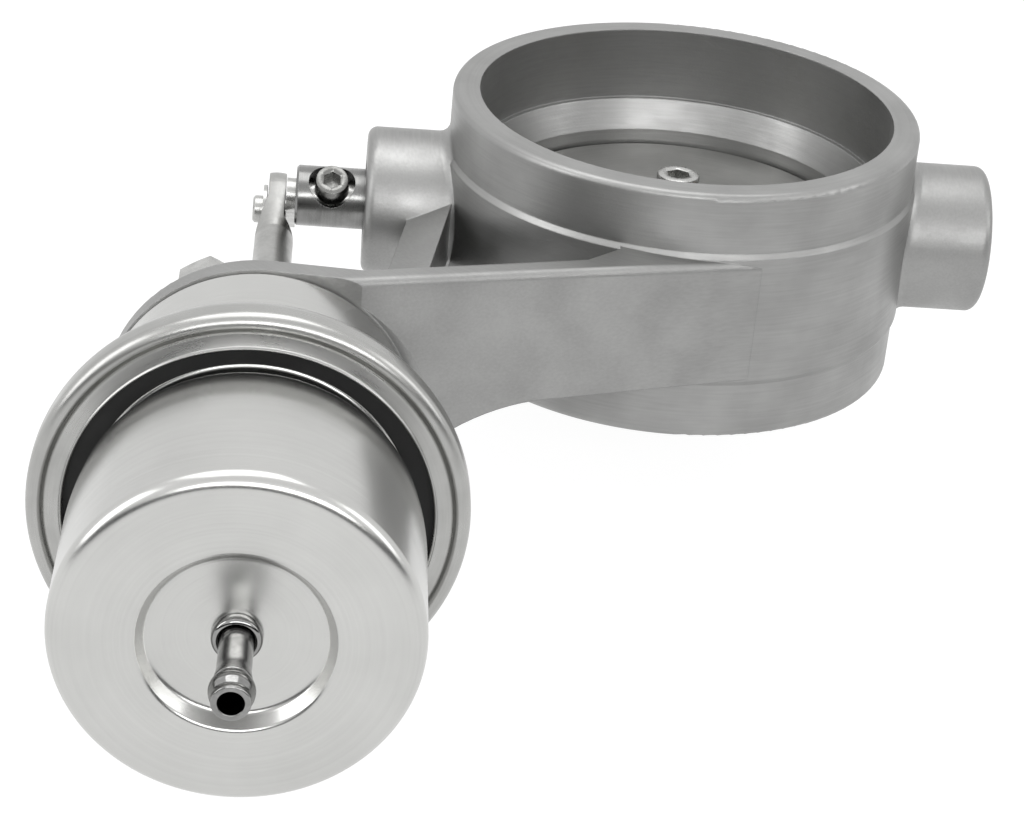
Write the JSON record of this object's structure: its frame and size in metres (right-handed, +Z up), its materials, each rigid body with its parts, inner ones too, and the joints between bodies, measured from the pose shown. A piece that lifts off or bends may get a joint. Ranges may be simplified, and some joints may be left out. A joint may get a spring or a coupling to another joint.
{
  "type": "exhaust cutout valve",
  "caption": "Round butterfly valve for an exhaust pipe: a cast pipe section with sockets, a disc on a cross shaft, and a side-mounted vacuum can that turns it through a rod and crank.",
  "frame": {"origin": "centre of the lower pipe socket's mouth, on the pipe's axis", "axes": "+Z up along the pipe, X along the valve shaft with the crank on the -X side, and the vacuum can points to -Y"},
  "size_m": [0.1676, 0.1994, 0.0699],
  "materials": {
    "cast_stainless": "satin cast stainless steel, lightly brushed",
    "can_steel": "smooth satin drawn stainless steel",
    "plated_steel": "zinc plated steel",
    "bright_steel": "polished steel",
    "shaft_steel": "turned stainless steel",
    "bronze": "sintered bronze",
    "rubber": "black moulded rubber",
    "seal_rubber": "graphite grey seal"
  },
  "bodies": {
    "housing": {"valve_body": "cast_stainless", "left_bush": "bronze", "right_bush": "bronze", "shaft_seal": "seal_rubber", "rear_housing": "can_steel", "mounting_studs": "plated_steel", "lock_washers": "plated_steel", "stud_nuts": "plated_steel", "crimp_ring": "can_steel", "front_housing": "can_steel", "diaphragm": "rubber", "return_spring": "shaft_steel", "spring_seat": "plated_steel", "vacuum_nipple": "bright_steel", "nipple_collar": "bright_steel"},
    "valve_shaft": {"shaft": "shaft_steel", "disc": "shaft_steel", "disc_screw": "plated_steel", "crank_lever": "plated_steel", "crank_pin": "plated_steel", "lever_screw": "plated_steel", "e_clip": "plated_steel"},
    "rod_assembly": {"actuator_rod": "shaft_steel", "rear_piston_plate": "plated_steel", "front_piston_plate": "plated_steel", "rod_nut": "plated_steel"}
  },
  "joints": [
    {"name": "valve_turn", "type": "hinge", "parent": "housing", "child": "valve_shaft", "pos_m": [0, 0, 0.0235], "axis": [-1, 0, 0], "range_deg": [0, 90], "stiffness_Nm_per_rad": 0.03, "springref_deg": -45.84, "deforming": ["diaphragm", "return_spring"]},
    {"name": "rod_swing", "type": "hinge", "parent": "valve_shaft", "child": "rod_assembly", "pos_m": [-0.0745, 0.0108, 0.0154], "axis": [-1, 0, 0], "range_deg": [-89, 0]}
  ],
  "couplings": [
    {"joint": "rod_swing", "follows": "valve_turn", "ratio": -0.98254}
  ]
}
